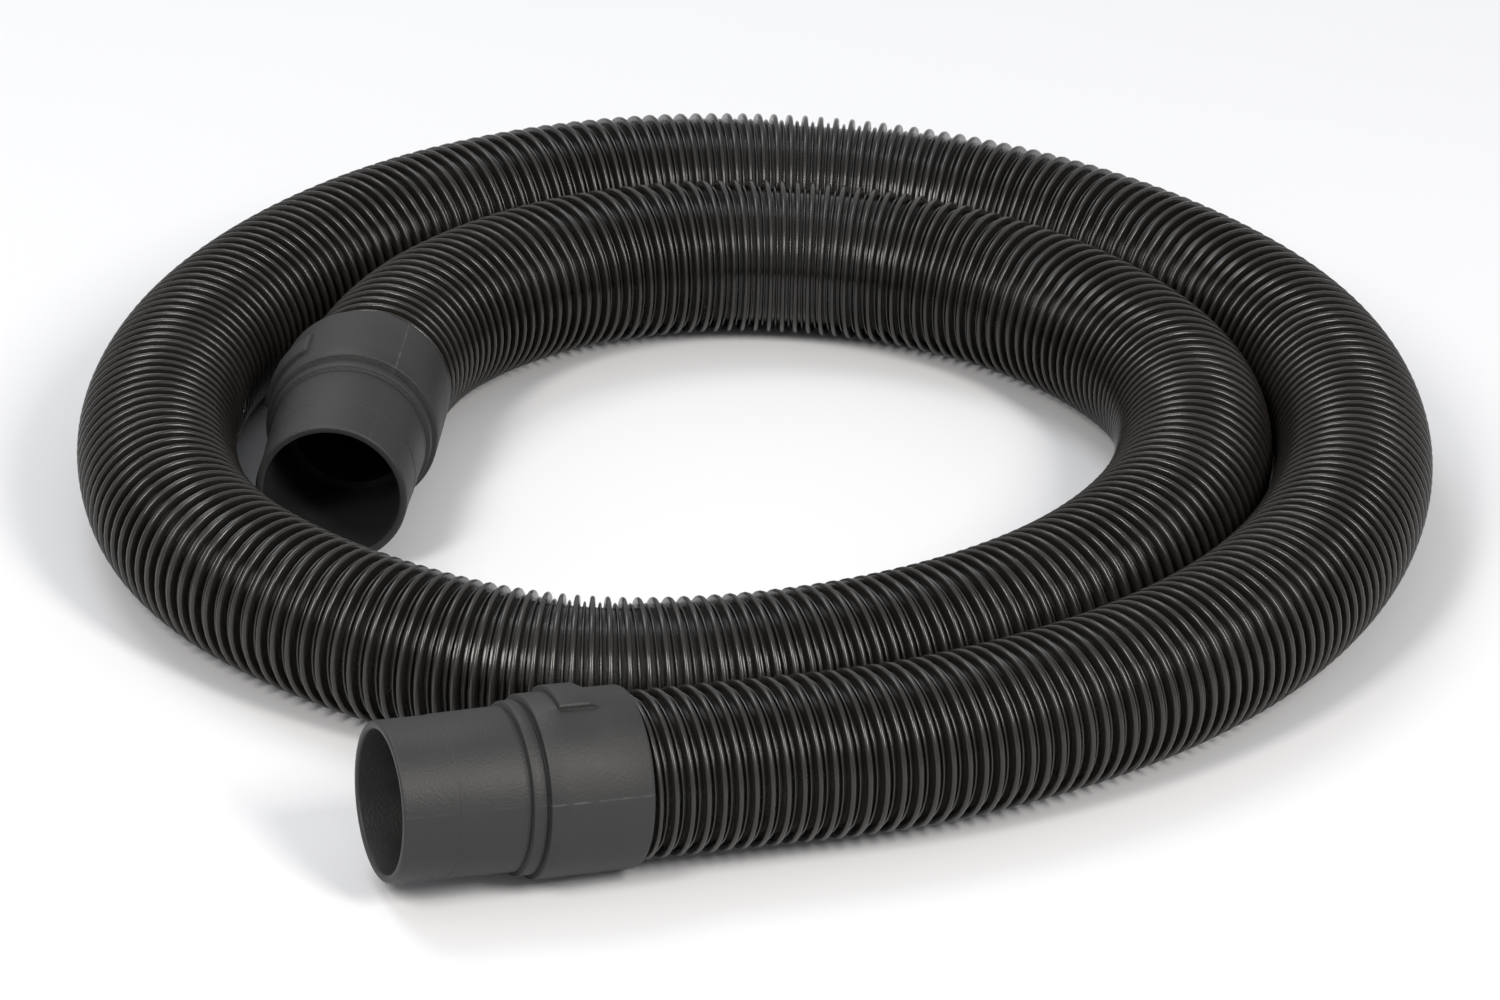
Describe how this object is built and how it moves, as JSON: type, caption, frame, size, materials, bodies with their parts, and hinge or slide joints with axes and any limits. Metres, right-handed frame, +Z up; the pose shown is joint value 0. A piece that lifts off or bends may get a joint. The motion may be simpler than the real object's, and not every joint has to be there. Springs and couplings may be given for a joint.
{
  "type": "vacuum hose",
  "caption": "Coiled black ribbed suction hose for a wet/dry or pool vacuum, with a grey swivel cuff and straight nozzle on each end.",
  "frame": {"origin": "on the floor, at the middle of the footprint of the two cuffs taken together", "axes": "+Z up from the floor the hose lies on; -X is nearly the way the front cuff's mouth points (its axis dips 1.7 degrees towards the hose and turns 0.6 degrees); the coil lies towards +X"},
  "size_m": [0.5225, 0.512, 0.0681],
  "materials": {
    "hose": "black polyethylene, satin to glossy on the rib crests",
    "cuff": "dark grey moulded plastic, fine matte texture",
    "ferrule": "black moulded plastic",
    "seal": "soft black rubber"
  },
  "bodies": {
    "hose_run": {"hose": "hose", "front_ferrule": "ferrule", "rear_ferrule": "ferrule"},
    "front_swivel": {"front_cuff": "cuff", "front_seal": "seal"},
    "rear_swivel": {"rear_cuff": "cuff", "rear_seal": "seal"}
  },
  "joints": [
    {"name": "front_cuff_swivel", "type": "hinge", "parent": "hose_run", "child": "front_swivel", "pos_m": [-0.0623, -0.1438, 0.03507], "axis": [-0.9995, 0.0105, 0.0297], "continuous": true},
    {"name": "rear_cuff_swivel", "type": "hinge", "parent": "hose_run", "child": "rear_swivel", "pos_m": [-0.0066, 0.0818, 0.0327], "axis": [-0.4462, -0.8949, 0], "continuous": true}
  ]
}
